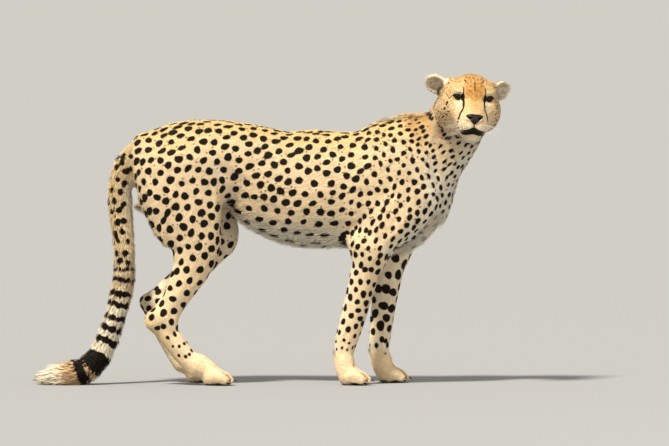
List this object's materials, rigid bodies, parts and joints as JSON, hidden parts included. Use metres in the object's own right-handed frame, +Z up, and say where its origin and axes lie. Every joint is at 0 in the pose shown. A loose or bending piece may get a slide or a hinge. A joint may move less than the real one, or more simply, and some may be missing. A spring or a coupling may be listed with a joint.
{
  "type": "standing cheetah model",
  "caption": "Life-size still model of a standing adult cheetah with its head turned to its right and its tail tip laid on the floor.",
  "frame": {"origin": "on the floor, under the middle of the whole animal's box", "axes": "+X from the tail to the chest, +Y to the animal's left, +Z up; the face looks mostly along -Y"},
  "size_m": [1.3122, 0.3228, 0.8719],
  "materials": {
    "coat": "short golden fur with solid black spots, paling to white below",
    "ear_coat": "pale fur with a dark patch on the back",
    "eye": "wet amber-brown eye with a round black pupil",
    "nose_leather": "black, finely pebbled, slightly moist",
    "claw": "dark blunt horn"
  },
  "bodies": {
    "root": {"claw_foreleg_left_1": "claw", "claw_foreleg_left_2": "claw", "claw_foreleg_left_3": "claw", "claw_foreleg_left_4": "claw", "claw_foreleg_right_1": "claw", "claw_foreleg_right_2": "claw", "claw_foreleg_right_3": "claw", "claw_foreleg_right_4": "claw", "claw_hindleg_left_1": "claw", "claw_hindleg_left_2": "claw", "claw_hindleg_left_3": "claw", "claw_hindleg_left_4": "claw", "claw_hindleg_right_1": "claw", "claw_hindleg_right_2": "claw", "claw_hindleg_right_3": "claw", "claw_hindleg_right_4": "claw", "dewclaw_left": "claw", "dewclaw_right": "claw", "ear_left": "ear_coat", "ear_right": "ear_coat", "eye_left": "eye", "eye_right": "eye", "foreleg_left_lower": "coat", "foreleg_left_paw": "coat", "foreleg_left_upper": "coat", "foreleg_right_lower": "coat", "foreleg_right_paw": "coat", "foreleg_right_upper": "coat", "head": "coat", "hindleg_left_lower": "coat", "hindleg_left_paw": "coat", "hindleg_left_upper": "coat", "hindleg_right_lower": "coat", "hindleg_right_paw": "coat", "hindleg_right_upper": "coat", "neck": "coat", "nose": "nose_leather", "tail_base": "coat", "tail_middle": "coat", "tail_tip": "coat", "trunk": "coat"}
  },
  "joints": []
}
